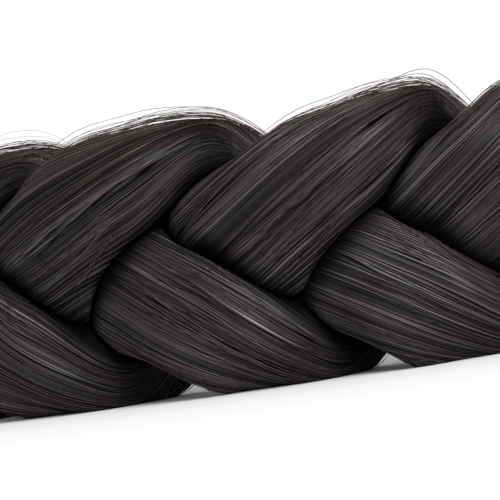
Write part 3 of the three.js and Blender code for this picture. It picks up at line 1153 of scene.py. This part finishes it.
class ElasticOperator(bpy.types.Operator):
    """Makes the flat woven elastic at the back"""

    bl_idname = "headband.make_elastic"
    bl_label = "Elastic"
    step = 0.0011
    face_points = 60
    edge_points = 6
    ribs = 9
    rib_depth = 0.00014

    def execute(self, context):
        scene = context.scene
        ties = scene.headband_ties
        plait = Plait(scene)
        reach = ties.elastic_span / 2 + ties.elastic_tuck
        count = round(2 * reach / self.step)
        distance = np.linspace(-reach, reach, count)[:, None]
        across, outward = self.section(ties)
        points = plait.loop.place(distance, across[None, :], outward[None, :])
        grid = np.broadcast_arrays(distance, across[None, :], outward[None, :])
        attributes = [("fibre_place", "FLOAT_VECTOR", np.stack(grid, -1))]
        faces = ring_faces(count, len(across))
        material = woven_elastic(ties)
        add_piece("woven_elastic", points, faces, material, ["elastic_band"], attributes)
        return {"FINISHED"}

    def section(self, ties):
        """A flat bar with ribs along both faces and rounded edges, outer face first."""
        half = ties.elastic_thickness / 2
        flat = ties.elastic_width / 2 - half
        face = np.linspace(flat, -flat, self.face_points)
        ribs = self.rib_depth * np.abs(np.sin(math.pi * self.ribs * (face / flat + 1) / 2)) - self.rib_depth
        turn = np.linspace(math.pi / 2, 3 * math.pi / 2, self.edge_points + 2)[1:-1]
        low_edge = (-flat + half * np.cos(turn), half * np.sin(turn))
        across = np.concatenate([face, low_edge[0], face[::-1], -low_edge[0]])
        outward = np.concatenate([half + ribs, low_edge[1], -half - ribs[::-1], -low_edge[1]])
        return across, outward


class StageOperator(bpy.types.Operator):
    """Makes the floor, the lights and the camera"""

    bl_idname = "headband.make_stage"
    bl_label = "Stage"
    key_place = (0.26, -0.34, 0.30)

    def execute(self, context):
        scene = context.scene
        stage = scene.headband_stage
        self.floor(scene, stage)
        self.lights(scene, stage)
        self.camera(scene, stage)
        scene.view_settings.view_transform = "Standard"
        return {"FINISHED"}

    def floor(self, scene, stage):
        half = stage.floor_size / 2
        mesh = bpy.data.meshes.new("floor")
        corners = [(-half, -half, 0), (half, -half, 0), (half, half, 0), (-half, half, 0)]
        mesh.from_pydata(corners, [], [(0, 1, 2, 3)])
        surface = Surface("pale_floor")
        mesh.materials.append(surface.finish(Base_Color=colour(stage.floor_colour), Roughness=0.9))
        floor = bpy.data.objects.new("floor", mesh)
        scene.collection.objects.link(floor)

    def lights(self, scene, stage):
        world = bpy.data.worlds.new("white_room")
        world.use_nodes = True
        background = next(node for node in world.node_tree.nodes if node.type == "BACKGROUND")
        background.inputs["Color"].default_value = (1.0, 1.0, 1.0, 1.0)
        background.inputs["Strength"].default_value = stage.sky_strength
        scene.world = world
        data = bpy.data.lights.new("key_light", "SUN")
        data.angle = stage.key_spread
        data.energy = stage.key_strength
        light = bpy.data.objects.new("key_light", data)
        light.location = self.key_place
        light.rotation_euler = light.location.to_track_quat("Z", "Y").to_euler()
        scene.collection.objects.link(light)

    def camera(self, scene, stage):
        loop = Plait(scene).loop
        x, y, along_x, along_y = loop.line(loop.length / 2 + stage.view_offset)
        cos, sin = math.cos(stage.view_turn), math.sin(stage.view_turn)
        back_x = along_y * cos + along_x * sin
        back_y = along_y * sin - along_x * cos
        aim = Vector((x, y, stage.aim_height))
        eye = Vector((x + back_x * stage.view_distance, y + back_y * stage.view_distance, stage.view_height))
        forward = (aim - eye).normalized()
        right = forward.cross(Vector((0, 0, 1))).normalized()
        up = right.cross(forward)
        cos, sin = math.cos(stage.view_roll), math.sin(stage.view_roll)
        axes = (right * cos + up * sin, up * cos - right * sin, -forward)
        data = bpy.data.cameras.new("camera")
        data.lens = stage.lens
        data.clip_start = 0.01
        camera = bpy.data.objects.new("camera", data)
        camera.matrix_world = Matrix.Translation(eye) @ Matrix(axes).transposed().to_4x4()
        scene.collection.objects.link(camera)
        scene.camera = camera


class HeadbandPanel(bpy.types.Panel):
    """Lists the headband's sizes and pieces"""

    bl_idname = "VIEW3D_PT_headband"
    bl_label = "Braided headband"
    bl_space_type = "VIEW_3D"
    bl_region_type = "UI"
    bl_category = "Headband"

    def draw(self, context):
        for group in SETTINGS:
            box = self.layout.box()
            settings = getattr(context.scene, group)
            for name in settings.bl_rna.properties.keys():
                if name not in ("rna_type", "name"):
                    box.prop(settings, name)
        for operator in OPERATORS:
            self.layout.operator(operator.bl_idname)


SETTINGS = {
    "headband_plait": PlaitSettings,
    "headband_hair": HairSettings,
    "headband_ties": TieSettings,
    "headband_stage": StageSettings,
}
OPERATORS = (
    StrandsOperator,
    InnerHairOperator,
    FibresOperator,
    StrayHairsOperator,
    WindingsOperator,
    ElasticOperator,
    StageOperator,
)


def register():
    for group, settings in SETTINGS.items():
        bpy.utils.register_class(settings)
        setattr(bpy.types.Scene, group, bpy.props.PointerProperty(type=settings))
    for operator in OPERATORS:
        bpy.utils.register_class(operator)
    bpy.utils.register_class(HeadbandPanel)


def unregister():
    bpy.utils.unregister_class(HeadbandPanel)
    for operator in reversed(OPERATORS):
        bpy.utils.unregister_class(operator)
    for group, settings in reversed(SETTINGS.items()):
        delattr(bpy.types.Scene, group)
        bpy.utils.unregister_class(settings)


def main():
    register()
    bpy.ops.headband.make_strands()
    bpy.ops.headband.make_inner_hair()
    bpy.ops.headband.make_fibres()
    bpy.ops.headband.make_stray_hairs()
    bpy.ops.headband.make_windings()
    bpy.ops.headband.make_elastic()
    bpy.ops.headband.make_stage()


if __name__ == "__main__":
    main()
